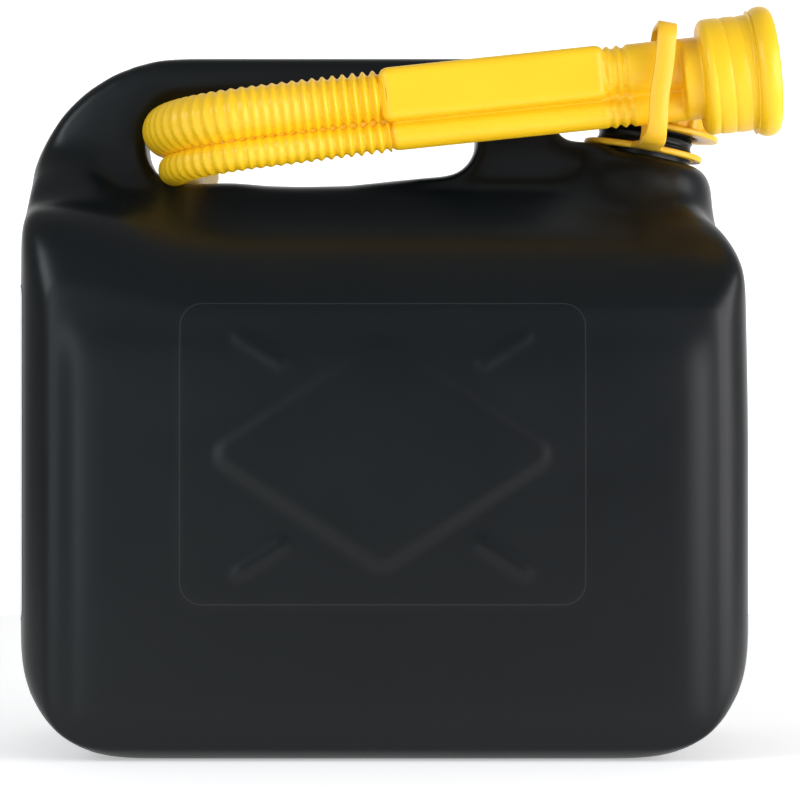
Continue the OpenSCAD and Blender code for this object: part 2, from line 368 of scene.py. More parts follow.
def buildCanister():
    c = canister
    tank = tankSolid()
    joinInto(tank, [handleSolid(), bossSolid(), rearFillet()])
    remesh(tank, c["coarseVoxel"], 10)
    remesh(tank, c["voxel"], 7)
    easeFillets(tank)
    depth = c["halfDepth"]
    floor = min(v.co.z for v in tank.data.vertices)
    for v in tank.data.vertices:
        x, y, z = v.co
        if abs(y) > depth - 6 * mm:
            # sink the panels a little and raise the relief, clear of the box's own faces
            side = 1 if y > 0 else -1
            flat = smoothStep(depth - 6 * mm, depth - 1.5 * mm, abs(y))
            v.co.y = y + side * flat * (reliefHeight(x, z - relief["centre"]) - relief["sink"])
        if x > 90 * mm:
            swell = c["swell"] * smoothStep(90 * mm, 115 * mm, x) * smoothStep(190 * mm, 110 * mm, z)
            v.co.x = x * (1 + swell)
        if z < 12 * mm:
            v.co.z = max(z - floor * smoothStep(12 * mm, 2 * mm, z), 0)
    tank.name = "canisterShell"
    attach(tank, "canister")
    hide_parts("canister_shell")
    return tank


canisterShell = buildCanister()
print("canister", len(canisterShell.data.polygons), "faces")

# ---- the spout ----
spout = {
    "mainCrest": 9.9 * mm,
    "ventCrest": 6.0 * mm,
    "channelGap": 14.6 * mm,      # from the main channel's axis down to the vent's
    "fold": 3.7 * mm,             # one convolution
    "mainGroove": 1.75 * mm,      # depth of a bellows groove
    "ventGroove": 1.5 * mm,
    "bendRadius": 29.5 * mm,
    "straight": 50.5 * mm,        # straight bellows before the bend
    "bend": 100,                  # degrees
    "barrelLength": 82.5 * mm,
    "tubeDrop": 5.3 * mm,
    "tipLength": 48 * mm,
    "wall": 1.3 * mm,
    "webHigh": 8.8 * mm,       # the web between the two channels of the tip
    "webLow": 9.9 * mm,
    "webHalf": 2.2 * mm,
}

curlJoints = [jointNamed("hose_curl")] + [jointNamed("curl_%02d" % i) for i in range(2, 12)]
curlPlaces = [Vector(joint["pos_m"]) for joint in curlJoints]
slideAxis = Vector(jointNamed("spout_slide")["axis"])
spoutFoot = Vector((-1 * mm, -46 * mm, 240.7 * mm))

spoutFrame = Matrix((
    (slideAxis.x, 0, -slideAxis.z, spoutFoot.x),
    (0, 1, 0, spoutFoot.y),
    (slideAxis.z, 0, slideAxis.x, spoutFoot.z),
    (0, 0, 0, 1)))
turnToX = Matrix(((0, 0, 1, 0), (0, 1, 0, 0), (-1, 0, 0, 0), (0, 0, 0, 1)))     # Z becomes X

bendUp = -Vector(curlJoints[3]["axis"])
straightUp = -Vector(curlJoints[0]["axis"])
straightBack = Vector((straightUp.z, 0, -straightUp.x)) * -1                    # towards the hook
bendStart = spoutFoot + straightBack * spout["straight"]
bendBack = Vector((bendUp.z, 0, -bendUp.x)) * -1
bendCentre = bendStart + Vector((0, spout["bendRadius"], 0))


def hoseFrame(s):
    # point, direction and up on the main channel's axis, s metres from the barrel
    if s < spout["straight"]:
        return spoutFoot + straightBack * s, straightBack, straightUp
    angle = (s - spout["straight"]) / spout["bendRadius"]
    last = math.radians(spout["bend"])
    reach = min(angle, last)
    radial = Vector((0, -1, 0)) * math.cos(reach) + bendBack * math.sin(reach)
    ahead = bendBack * math.cos(reach) + Vector((0, 1, 0)) * math.sin(reach)
    place = bendCentre + radial * spout["bendRadius"]
    if angle > last:
        place = place + ahead * (angle - last) * spout["bendRadius"]
    return place, ahead, bendUp


def hosePoint(s, outward, up):
    # outward points away from the bend's centre
    place, ahead, lift = hoseFrame(s)
    return place + lift.cross(ahead) * outward + lift * up


def foldShape(s):
    # how deep the folds are: full near the barrel, fading through the bend
    near = smoothStep(44 * mm, 2 * mm, s)
    end = smoothStep(94 * mm, 66 * mm, s)
    return (0.40 + 0.60 * near) * (0.14 + 0.86 * end)


def foldedRadius(s, crest, depth):
    # soft zigzag of the bellows, with a crest at the middle of each fold
    phase = (s / spout["fold"]) % 1
    wave = 0.5 + 0.5 * math.cos(2 * math.pi * phase)
    return crest - depth * foldShape(s) * wave


def joinParts(parts):
    # several bmeshes in one
    whole = bmesh.new()
    for part in parts:
        mesh = bpy.data.meshes.new("part")
        part.to_mesh(mesh)
        part.free()
        whole.from_mesh(mesh)
        bpy.data.meshes.remove(mesh)
    return whole


def bellowsPiece(name, start, end):
    parts = []
    for crest, depth, drop, segments in (
            (spout["mainCrest"], spout["mainGroove"], 0, 48),
            (spout["ventCrest"], spout["ventGroove"], spout["channelGap"], 36),
            (2.3 * mm, 0, 9.2 * mm, 12)):
        rings = max(4, round((end - start) / spout["fold"] * 12))
        profile = []
        for i in range(rings + 1):
            s = start + (end - start) * i / rings
            profile.append((foldedRadius(s, crest, depth), s))
        part = spinProfile(profile, segments)
        faceOutwards(part)
        for v in part.verts:
            v.co = hosePoint(v.co.z, v.co.x, v.co.y - drop)
        parts.append(part)
    piece = newObject(joinParts(parts), name)
    return piece


def faceOutwards(bm):
    # an open tube is spun with one winding, so its faces all turn together
    bm.normal_update()
    middle = sum((v.co for v in bm.verts), Vector()) / len(bm.verts)
    facing = 0
    for face in bm.faces:
        away = face.calc_center_median() - middle
        away.z = 0
        facing += face.normal.dot(away) * face.calc_area()
    if facing < 0:
        bmesh.ops.reverse_faces(bm, faces=bm.faces)


hoseEnd = spout["straight"] + spout["bendRadius"] * math.radians(spout["bend"])


def buildBellows():
    pieces = []
    fold = spout["fold"]
    names = ["spout"] + ["link_%02d" % i for i in range(1, 11)] + ["tip"]
    places = []
    for place in curlPlaces[:3]:
        places.append((place - spoutFoot).length)
    for place in curlPlaces[3:]:
        spoke = place - bendCentre
        places.append(spout["straight"] + spout["bendRadius"] * math.atan2(spoke.dot(bendBack), -spoke.y))
    # each piece spans one joint and meets its neighbours on the crest nearest half-way
    cuts = [-2 * mm]
    for near, far in zip(places, places[1:]):
        cuts.append((round((near + far) / 2 / fold - 0.5) + 0.5) * fold)
    cuts.append(places[-1] + 3 * mm)
    for i, (start, end) in enumerate(zip(cuts, cuts[1:])):
        piece = bellowsPiece("bellowsFold%02d" % (i + 1), start, end)
        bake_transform(piece)
        if i < 10:
            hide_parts(names[i + 1].replace("link", "bellows"))
        pieces.append(piece)
    return pieces, cuts[-1]


def tubeBetween(start, end, outer, inner, drop, depth, segments=48):
    # plain tube along the hose, open at its far end with a rounded rim
    rim = 0.5 * mm
    profile = [(outer, start + (end - rim - start) * i / 12) for i in range(13)]
    profile += [(outer - rim * 0.3, end - rim * 0.3), (outer - rim, end), (inner + rim, end),
                (inner + rim * 0.3, end - rim * 0.3), (inner, end - rim)]
    profile += [(inner, end - depth), (0, end - depth)]
    part = spinProfile(profile, segments)
    bmesh.ops.recalc_face_normals(part, faces=part.faces)
    for v in part.verts:
        v.co = hosePoint(v.co.z, v.co.x, v.co.y - drop)
    return part


def buildTip(start):
    end = hoseEnd + spout["tipLength"]
    ease = spout["mainGroove"] * 0.16
    parts = [
        tubeBetween(start, end, spout["mainCrest"] - ease * 0.5, spout["mainCrest"] - 1.6 * mm, 0, 30 * mm),
        tubeBetween(start, end - 3 * mm, spout["ventCrest"] - ease * 0.5, spout["ventCrest"] - 1.6 * mm,
                    spout["channelGap"], 20 * mm, 36)]
    high, low, half = -spout["webHigh"], -spout["webLow"], spout["webHalf"]
    web = prism([(start, high), (end - 4 * mm, high), (end - 4 * mm, low), (start, low)],
                -half, half, lambda a, b, depth: Vector((a, depth, b)))
    long = [e for e in web.edges if abs(e.verts[0].co.x - e.verts[1].co.x) > 10 * mm]
    bmesh.ops.subdivide_edges(web, edges=long, cuts=16, use_grid_fill=True)
    for v in web.verts:
        v.co = hosePoint(v.co.x, v.co.y, v.co.z)
    bmesh.ops.recalc_face_normals(web, faces=web.faces)
    parts.append(web)
    whole = joinParts(parts)
    tip = newObject(whole, "spoutTip")
    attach(tip, "tip")
    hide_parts("spout_tip")
    return tip


bellowsPieces, tipStart = buildBellows()
spoutTip = buildTip(tipStart)
print("bellows", len(bellowsPieces), "pieces and the tip")

# ---- barrel of the spout ----
barrel = {
    "halfHeight": 9.9 * mm,
    "halfWidth": 9.6 * mm,
    "corner": 3.4 * mm,
    "ventRadius": 5.5 * mm,
    "ventStart": 3.0 * mm,
    "folds": 3,
    "throat": 110 * mm,           # where both channels end in the round neck
    "neckRadius": 14.9 * mm,
    "socketStart": 117 * mm,
    "voxel": 0.55 * mm,
}


def alongX(bm, drop=0):
    # a spun shape laid along the spout's axis and lowered
    bmesh.ops.transform(bm, matrix=Matrix.Translation((0, 0, -drop)) @ turnToX, verts=bm.verts)
    return bm


def cylinderAlong(low, high, radius, drop, segments=64, rounding=0.0):
    rounding = min(rounding, radius * 0.95)
    profile = [(0, low)]
    if rounding:
        profile += [(radius - rounding + rounding * math.sin(math.radians(a)),
                     low + rounding - rounding * math.cos(math.radians(a))) for a in range(0, 91, 15)]
        profile += [(radius - rounding + rounding * math.cos(math.radians(a)),
                     high - rounding + rounding * math.sin(math.radians(a))) for a in range(0, 91, 15)]
    else:
        profile += [(radius, low), (radius, high)]
    profile.append((0, high))
    bm = spinProfile(profile, segments)
    bmesh.ops.recalc_face_normals(bm, faces=bm.faces)
    return alongX(bm, drop)


def foldsAlong(start, count, crest, depth, drop, segments=56):
    fold = spout["fold"]
    steps = 12 * count
    profile = [(0, start)]
    for i in range(steps + 1):
        s = start + count * fold * i / steps
        phase = (s - start) / fold
        profile.append((crest - depth * (0.5 + 0.5 * math.cos(2 * math.pi * phase)), s))
    profile.append((0, start + count * fold))
    bm = spinProfile(profile, segments)
    bmesh.ops.recalc_face_normals(bm, faces=bm.faces)
    return alongX(bm, drop)


def buildBarrel():
    b = barrel
    length = spout["barrelLength"]
    panel = bmesh.new()
    bmesh.ops.create_cube(panel, size=1)
    bmesh.ops.scale(panel, vec=(length, 2 * b["halfWidth"], 2 * b["halfHeight"]), verts=panel.verts)
    bmesh.ops.translate(panel, vec=(length / 2, 0, 0), verts=panel.verts)
    bevelEdges(panel, list(panel.edges), b["corner"], 6)
    foldStart = length - 0.6 * mm
    ventLength = length - b["ventStart"] + 0.4 * mm
    parts = [
        panel,
        cylinderAlong(b["ventStart"], b["ventStart"] + ventLength, b["ventRadius"], spout["channelGap"],
                      56, 1.6 * mm),
        cylinderAlong(-1.2 * mm, 8 * mm, b["ventRadius"] - 0.9 * mm, spout["channelGap"], 40),
        foldsAlong(foldStart, b["folds"], b["halfHeight"], 1.5 * mm, 0),
        foldsAlong(foldStart + 0.8 * mm, b["folds"], 5.9 * mm, 1.3 * mm, spout["channelGap"]),
        cylinderAlong(foldStart + 9 * mm, b["throat"] + 6 * mm, b["halfHeight"] - 0.1 * mm, 0, 64),
        cylinderAlong(foldStart + 9 * mm, b["throat"] + 6 * mm, 5.7 * mm, spout["channelGap"], 48),
        cylinderAlong(b["throat"], b["socketStart"] + 1 * mm, b["neckRadius"], spout["tubeDrop"],
                      72, 1.2 * mm),
    ]
    # the web between the channels
    web = bmesh.new()
    bmesh.ops.create_cube(web, size=1)
    bmesh.ops.scale(web, vec=(b["throat"] - 6 * mm, 6.5 * mm, 10 * mm), verts=web.verts)
    bmesh.ops.translate(web, vec=(b["throat"] / 2 + 3.6 * mm, 0, -9.4 * mm), verts=web.verts)
    parts.append(web)
    piece = newObject(joinParts(parts), "spoutBarrel")
    remesh(piece, b["voxel"], 4)
    piece.data.transform(spoutFrame)
    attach(piece, "spout")
    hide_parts("spout_barrel")
    return piece


socket = {
    "radius": 20.8 * mm,
    "threadPitch": 5.9 * mm,
    "threadDepth": 0.6 * mm,
    "threadStart": 2.4 * mm,
    "length": 18.6 * mm,
    "lipRadius": 23.7 * mm,
    "lipLength": 8.9 * mm,
    "wall": 1.3 * mm,
}


def threadWave(along, turn):
    # rounded ribs with narrow valleys
    k = socket
    phase = ((along - k["threadStart"]) / k["threadPitch"] - turn) % 1
    wave = math.sin(math.pi * phase) ** 0.32
    fade = smoothStep(k["threadStart"] - 1 * mm, k["threadStart"] + 3 * mm, along)
    return k["threadDepth"] * (wave - 1) * fade


def buildSocket():
    k = socket
    end = k["length"] + k["lipLength"]
    neck = barrel["neckRadius"]
    outer = [(neck - 0.3 * mm, -2 * mm), (neck, -1.2 * mm)]
    # hollow fillet from the neck, then a rounded shoulder
    outer += arcPoints(neck + 1 * mm, -1 * mm, 1 * mm, 180, 90, 5)
    shoulder = 3.2 * mm
    wallRadius = k["radius"] + 0.4 * mm
    outer += arcPoints(wallRadius - shoulder, shoulder, shoulder, -90, 0, 9)
    count = 44
    wallStart, wallEnd = shoulder + 0.3 * mm, k["length"] - 1.2 * mm
    outer += [(wallRadius, wallStart + (wallEnd - wallStart) * i / count) for i in range(1, count + 1)]
    # lip: small fillet, then a full round edge
    lip = k["lipRadius"]
    bulge = k["lipLength"] / 2
    outer += [(wallRadius + 1.4 * mm * (1 - math.cos(math.radians(a))),
               wallEnd + 1.2 * mm * math.sin(math.radians(a))) for a in range(15, 91, 15)]
    for a in range(-70, 91, 10):
        c, n = math.cos(math.radians(a)), math.sin(math.radians(a))
        outer.append((lip - 3 * mm + 3 * mm * c, k["length"] + bulge + (bulge - 0.2 * mm) * n))
    inner = lip - 4.6 * mm
    tail = [(inner + 0.5 * mm, end - 0.2 * mm), (inner, end - 0.9 * mm), (inner, k["length"] + 1.5 * mm),
            (k["radius"] - k["wall"], k["length"]), (k["radius"] - k["wall"], 2 * mm),
            (neck - k["wall"], 2 * mm), (neck - k["wall"], -2 * mm), (0, -2 * mm)]
    bm = spinProfile([(0, -1.9 * mm)] + outer + tail, 192)
    bmesh.ops.remove_doubles(bm, verts=bm.verts, dist=1e-7)
    bmesh.ops.recalc_face_normals(bm, faces=bm.faces)
    for v in bm.verts:
        r = math.hypot(v.co.x, v.co.y)
        if r > k["radius"] and shoulder * 0.6 < v.co.z < k["length"]:
            # turn is counted from the top towards the front
            turn = math.atan2(-v.co.y, -v.co.x) / (2 * math.pi)
            ease = smoothStep(k["length"] + 0.6 * mm, k["length"] - 1.2 * mm, v.co.z)
            grown = r + threadWave(v.co.z, turn) * ease
            v.co.x *= grown / r
            v.co.y *= grown / r
    alongX(bm, 0)
    bmesh.ops.translate(bm, vec=(barrel["socketStart"], 0, -spout["tubeDrop"]), verts=bm.verts)
    bmesh.ops.transform(bm, matrix=spoutFrame, verts=bm.verts)
    piece = newObject(bm, "spoutSocket")
    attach(piece, "spout")
    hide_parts("spout_socket")
    return piece


spoutBarrel = buildBarrel()
spoutSocket = buildSocket()
print("barrel", len(spoutBarrel.data.polygons), "socket", len(spoutSocket.data.polygons), "faces")

# ---- neck ----
neck = {
    "collar": 17.6 * mm,
    "bead": 0.35 * mm,            # fine beads round the collar
    "root": 17.0 * mm,
    "crest": 18.35 * mm,
    "pitch": 4 * mm,
    "threadLow": 10 * mm,
    "threadHigh": 21.5 * mm,
    "rim": 24 * mm,
    "bore": 14.5 * mm,
}


def buildNeck():
    n = neck
    outer = [(n["collar"], -8 * mm), (n["collar"], 1.6 * mm)]
    for height in (2.5 * mm, 5.2 * mm):
        outer += [(n["collar"], height - 0.5 * mm), (n["collar"] + n["bead"], height - 0.2 * mm),
                  (n["collar"] + n["bead"], height + 0.2 * mm), (n["collar"], height + 0.5 * mm)]
    outer += [(n["collar"], 6.5 * mm), (n["root"], 7 * mm)]
    outer += [(n["root"], 7 * mm + (n["rim"] - 7.8 * mm) * i / 64) for i in range(1, 65)]
    outer += [(n["root"] - 0.3 * mm, n["rim"] - 0.2 * mm), (n["root"] - 0.8 * mm, n["rim"]),
              (n["bore"] + 0.7 * mm, n["rim"]), (n["bore"], n["rim"] - 0.7 * mm), (n["bore"], -12 * mm)]
    bm = spinProfile(outer, 144)
    bmesh.ops.recalc_face_normals(bm, faces=bm.faces)
    for v in bm.verts:
        r = math.hypot(v.co.x, v.co.y)
        if abs(r - n["root"]) < 0.01 * mm and v.co.z > 8 * mm:
            turn = math.atan2(v.co.y, v.co.x) / (2 * math.pi)
            phase = ((v.co.z / n["pitch"] - turn) % 1) - 0.5
            ridge = smoothStep(0.26, 0.12, abs(phase))
            ridge *= smoothStep(n["threadLow"] - 1 * mm, n["threadLow"] + 0.5 * mm, v.co.z)
            ridge *= smoothStep(n["threadHigh"] + 1 * mm, n["threadHigh"] - 0.5 * mm, v.co.z)
            grown = 1 + (n["crest"] - n["root"]) * ridge / r
            v.co.x *= grown
            v.co.y *= grown
    bmesh.ops.transform(bm, matrix=neckFrame, verts=bm.verts)
    piece = newObject(bm, "canisterNeck")
    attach(piece, "canister")
    return piece


canisterNeck = buildNeck()

# ---- cap ----
cap = {
    "flange": 27.4 * mm,
    "low": 7.4 * mm,
    "flangeThick": 2.0 * mm,
    "valley": 24.0 * mm,          # radius between the grip ribs
    "crest": 25.55 * mm,
    "ribs": 18,
    "top": 31.1 * mm,
    "inside": 21.85 * mm,
    "mouth": 19.9 * mm,
}


def buildCap():
    c = cap
    low, high = c["low"], c["low"] + c["flangeThick"]
    profile = [(0, 29.65 * mm), (c["inside"], 29.65 * mm), (c["inside"], 9.35 * mm),
               (c["mouth"], 9.35 * mm), (c["mouth"], low)]
    profile += [(c["flange"] - 0.6 * mm, low), (c["flange"] - 0.18 * mm, low + 0.18 * mm),
                (c["flange"], low + 0.6 * mm), (c["flange"], high - 0.6 * mm),
                (c["flange"] - 0.18 * mm, high - 0.18 * mm), (c["flange"] - 0.6 * mm, high),
                (c["crest"] + 0.5 * mm, high)]
    profile += [(c["valley"], high + 0.35 * mm + (c["top"] - 3.4 * mm - high) * i / 24) for i in range(25)]
    profile += arcPoints(c["valley"] - 2.6 * mm, c["top"] - 2.6 * mm, 2.6 * mm, 15, 90, 5)
    profile += [(18.6 * mm, c["top"]), (18.0 * mm, c["top"] - 0.2 * mm), (17.7 * mm, c["top"] - 0.8 * mm),
                (8.4 * mm, c["top"] - 0.8 * mm), (8.1 * mm, c["top"] - 0.5 * mm),
                (7.4 * mm, c["top"] - 0.4 * mm), (0, c["top"] - 0.4 * mm)]
    bm = spinProfile(profile, c["ribs"] * 16)
    bmesh.ops.recalc_face_normals(bm, faces=bm.faces)
    for v in bm.verts:
        r = math.hypot(v.co.x, v.co.y)
        if r > c["valley"] - 1.2 * mm and v.co.z > high + 0.2 * mm:
            turn = (math.atan2(v.co.y, v.co.x) / (2 * math.pi) * c["ribs"]) % 1
            rib = smoothStep(0.27, 0.17, abs(turn - 0.5))
            rib *= smoothStep(c["top"] - 0.6 * mm, c["top"] - 2.6 * mm, v.co.z)
            grown = 1 + (c["crest"] - c["valley"]) * rib / r
            v.co.x *= grown
            v.co.y *= grown
    bmesh.ops.transform(bm, matrix=neckFrame, verts=bm.verts)
    piece = newObject(bm, "capShell")
    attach(piece, "cap_outer")
    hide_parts("cap_shell")
    return piece


capShell = buildCap()

# ---- holder: ring and strap ----
holder = {
    "ring": 22.6 * mm,
    "inner": 18.0 * mm,
    "thick": 2.2 * mm,
    "bandHalf": 3.5 * mm,
    "band": 1.7 * mm,
    "front": -64 * mm,
    "rear": -28.5 * mm,
    "top": 42.4 * mm,
    "shift": -1.6 * mm,           # the strap hangs a little to the left of the neck's middle
}


def roundedBand(points, closed, halfWidth, thickness):
    # strap of constant section along a path in the Y-Z plane, lying across X
    count = len(points)
    edge = 0.35 * mm
    section = [(-halfWidth + edge, -thickness / 2), (-halfWidth, -thickness / 2 + edge),
               (-halfWidth, thickness / 2 - edge), (-halfWidth + edge, thickness / 2),
               (halfWidth - edge, thickness / 2), (halfWidth, thickness / 2 - edge),
               (halfWidth, -thickness / 2 + edge), (halfWidth - edge, -thickness / 2)]
    bm = bmesh.new()
    rings = []
    for i, (y, z) in enumerate(points):
        before = points[i - 1] if closed or i else points[i]
        after = points[(i + 1) % count] if closed or i + 1 < count else points[i]
        ty, tz = after[0] - before[0], after[1] - before[1]
        size = math.hypot(ty, tz)
        ny, nz = -tz / size, ty / size
        rings.append([bm.verts.new((a, y + ny * b, z + nz * b)) for a, b in section])
    pairs = list(zip(rings, rings[1:])) + ([(rings[-1], rings[0])] if closed else [])
    for one, two in pairs:
        for k in range(8):
            bm.faces.new((one[k], one[(k + 1) % 8], two[(k + 1) % 8], two[k]))
    if not closed:
        bm.faces.new(rings[0])
        bm.faces.new(rings[-1])
    bmesh.ops.recalc_face_normals(bm, faces=bm.faces)
    return bm


def buildHolder():
    h = holder
    half = h["thick"] / 2
    e = 0.45 * mm
    profile = [(h["inner"], -half + e), (h["inner"] + e, -half)]
    # shallow steps under the ring
    for radius in (19.6 * mm, 21.0 * mm):
        profile += [(radius - 0.25 * mm, -half), (radius, -half + 0.35 * mm),
                    (radius + 0.45 * mm, -half + 0.35 * mm), (radius + 0.7 * mm, -half)]
    profile += [(h["ring"] - e * 1.6, -half), (h["ring"] - e * 0.4, -half + e * 0.4),
                (h["ring"], -half + e * 1.6), (h["ring"], half - e * 1.6),
                (h["ring"] - e * 0.4, half - e * 0.4), (h["ring"] - e * 1.6, half),
                (h["inner"] + e, half), (h["inner"], half - e), (h["inner"], -half + e)]
    ring = spinProfile(profile, 128)
    bmesh.ops.recalc_face_normals(ring, faces=ring.faces)
    t = h["band"] / 2
    front, rear, top = h["front"] + t, h["rear"] - t, h["top"] - t
    path = (arcPoints(front + 9 * mm, 8 * mm, 9 * mm, 180, 270, 12)
            + arcPoints(rear - 4 * mm, 3 * mm, 4 * mm, 270, 360, 8)
            + arcPoints(rear - 8 * mm, top - 8 * mm, 8 * mm, 0, 90, 12)
            + arcPoints(front + 6 * mm, top - 6 * mm, 6 * mm, 90, 180, 12))
    dense = []
    for (y0, z0), (y1, z1) in zip(path, path[1:] + path[:1]):
        steps = max(1, int(math.hypot(y1 - y0, z1 - z0) / (1.5 * mm)))
        dense += [(y0 + (y1 - y0) * i / steps, z0 + (z1 - z0) * i / steps) for i in range(steps)]
    loop = roundedBand(dense, True, h["bandHalf"], h["band"])
    for v in loop.verts:
        # the strap flares into its foot and hangs a little skew
        flare = 1 + 0.12 * smoothStep(4 * mm, -1 * mm, v.co.z)
        z = v.co.z
        skew = h["shift"] * smoothStep(0, 18 * mm, z)
        lean = 0.05 * smoothStep(16 * mm, 40 * mm, z) * (z - 16 * mm)
        v.co.x = v.co.x * flare + skew - lean
    outline = []
    for i in range(9):
        y = -17 * mm - (36 * mm) * i / 8
        spread = h["bandHalf"] * (1.12 + 0.7 * smoothStep(-32 * mm, -19 * mm, y))
        outline.append((spread, y))
    outline += [(-a, y) for a, y in reversed(outline)]
    foot = prism(outline, -half, half * 0.98, topPlace)
    bevelEdges(foot, [edge for edge in foot.edges if abs(edge.verts[0].co.z - edge.verts[1].co.z) < 1e-7],
               0.4 * mm, 3)
    bmesh.ops.recalc_face_normals(foot, faces=foot.faces)
    bm = joinParts([ring, loop, foot])
    bmesh.ops.transform(bm, matrix=neckFrame, verts=bm.verts)
    piece = newObject(bm, "spoutHolder")
    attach(piece, "holder")
    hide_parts("spout_holder")
    return piece


spoutHolder = buildHolder()

# ---- label on the left end ----
label = {
    "halfWidth": 55 * mm,
    "low": 50 * mm,
    "high": 172 * mm,
    "offset": 0.25 * mm,
    "corner": 5 * mm,
    "thick": 0.2 * mm,
}


def buildLabel():
    n = label
    bm = bmesh.new()
    bmesh.ops.create_grid(bm, x_segments=110, y_segments=110, size=1)
    uvs = bm.loops.layers.uv.new("label")
    for face in bm.faces:
        for loop in face.loops:
            loop[uvs].uv = (0.5 + loop.vert.co.x / 2, 0.5 + loop.vert.co.y / 2)
    middle = (n["low"] + n["high"]) / 2
    tall = (n["high"] - n["low"]) / 2
    for v in bm.verts:
        # corners are rounded by squeezing the outermost rows
        a, b = v.co.x * n["halfWidth"], v.co.y * tall
        overA, overB = abs(a) - n["halfWidth"] + n["corner"], abs(b) - tall + n["corner"]
        if overA > 0 and overB > 0:
            size = math.hypot(overA, overB)
            most = max(overA, overB)
            a -= math.copysign(overA * (1 - most / size), a)
            b -= math.copysign(overB * (1 - most / size), b)
        v.co = Vector((-0.16, -a, middle + b))
    piece = newObject(bm, "sideLabel")
    wrap = piece.modifiers.new("wrap", "SHRINKWRAP")
    wrap.target = canisterShell
    wrap.wrap_method = "PROJECT"
    wrap.use_project_x = True
    wrap.use_negative_direction = False
    wrap.use_positive_direction = True
    wrap.wrap_mode = "ABOVE_SURFACE"
    wrap.offset = n["offset"]
    applyModifiers(piece)
    thick = piece.modifiers.new("thick", "SOLIDIFY")
    thick.thickness = n["thick"]
    thick.offset = -1
    applyModifiers(piece)
    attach(piece, "canister")
    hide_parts("side_label")
    return piece


sideLabel = buildLabel()
print("neck, cap, holder and label done")

# ---- camera and light ----
camera = {"distance": 1.2, "x": 6.2 * mm, "z": 130 * mm, "frameWidth": 0.380 * 0.8}


def addCamera():
    data = bpy.data.cameras.new("camera")
    data.sensor_width = 36
    data.lens = 36 * camera["distance"] / camera["frameWidth"]
    piece = bpy.data.objects.new("camera", data)
    piece.location = (camera["x"], -camera["distance"], camera["z"])
    piece.rotation_euler = (math.pi / 2, 0, 0)
    bpy.context.scene.collection.objects.link(piece)
    bpy.context.scene.camera = piece


def addLight(name, size, place, target, power, colour=(1, 1, 1)):
    data = bpy.data.lights.new(name, "AREA")
    data.shape = "RECTANGLE"
    data.size, data.size_y = size
    data.energy = power
    data.color = colour
    piece = bpy.data.objects.new(name, data)
    piece.location = place
    piece.rotation_euler = (Vector(target) - Vector(place)).to_track_quat("-Z", "Y").to_euler()
    bpy.context.scene.collection.objects.link(piece)


addCamera()
addLight("upperLeft", (0.5, 0.5), (-0.95, -0.85, 0.75), (0, 0, 0.15), 5, (0.87, 0.96, 1.0))
addLight("leftSoftbox", (0.24, 1.0), (-0.58, -1.25, 0.1), (0, 0, 0.13), 3.0, (0.87, 0.96, 1.0))
addLight("rightFront", (0.55, 1.2), (0.78, -1.12, 0.15), (0, 0, 0.13), 4.5, (0.97, 0.94, 1.0))
addLight("rightSoftbox", (1.5, 1.4), (1.35, -0.6, 0.25), (0, 0, 0.13), 24, (1.0, 0.97, 1.0))

studio = {
    "behind": 1.3,
    "front": 0.36,
    "frontEdge": 0.55,      # where the dim side ends, as a share of the way back
    "backEdge": 0.97,
    "floorRadius": 0.75,
    "floorGlow": 0.42,
}


def addWorld():
    # white behind the object and dimmer on the camera's side
    world = bpy.data.worlds.new("studio")
    world.use_nodes = True
    nodes, links = world.node_tree.nodes, world.node_tree.links
    where = nodes.new("ShaderNodeTexCoord")
    parts = nodes.new("ShaderNodeSeparateXYZ")
    ramp = nodes.new("ShaderNodeMapRange")
    ramp.interpolation_type = "SMOOTHSTEP"
    for name, value in (("From Min", studio["frontEdge"]), ("From Max", studio["backEdge"]),
                        ("To Min", studio["front"]), ("To Max", studio["behind"])):
        ramp.inputs[name].default_value = value
    links.new(where.outputs["Generated"], parts.inputs["Vector"])
    links.new(parts.outputs["Y"], ramp.inputs["Value"])
    links.new(ramp.outputs["Result"], nodes["Background"].inputs["Strength"])
    nodes["Background"].inputs["Color"].default_value = (1, 1, 1, 1)
    bpy.context.scene.world = world


addWorld()
bpy.context.scene.view_settings.view_transform = "Standard"

# ---- finishes ----
finishes = {
    "blackHdpe": {"colour": (0.0018, 0.0036, 0.0048), "roughness": 0.34, "grain": 2600, "bump": 0.05,
                  "specular": 0.27},
    "spoutLdpe": {"colour": (1.0, 0.585, 0.010), "roughness": 0.38, "grain": 1400, "bump": 0.04,
                  "subsurface": 0.12},
    "holderLdpe": {"colour": (0.92, 0.53, 0.022), "roughness": 0.42, "grain": 1600, "bump": 0.04,
                   "subsurface": 0.12},
    "capPp": {"colour": (0.97, 0.58, 0.014), "roughness": 0.34, "grain": 2200, "bump": 0.03},
    "capInnerPp": {"colour": (0.9, 0.52, 0.02), "roughness": 0.42, "grain": 2200, "bump": 0.03},
    "rubber": {"colour": (0.014, 0.014, 0.014), "roughness": 0.72, "grain": 1800, "bump": 0.08},
}


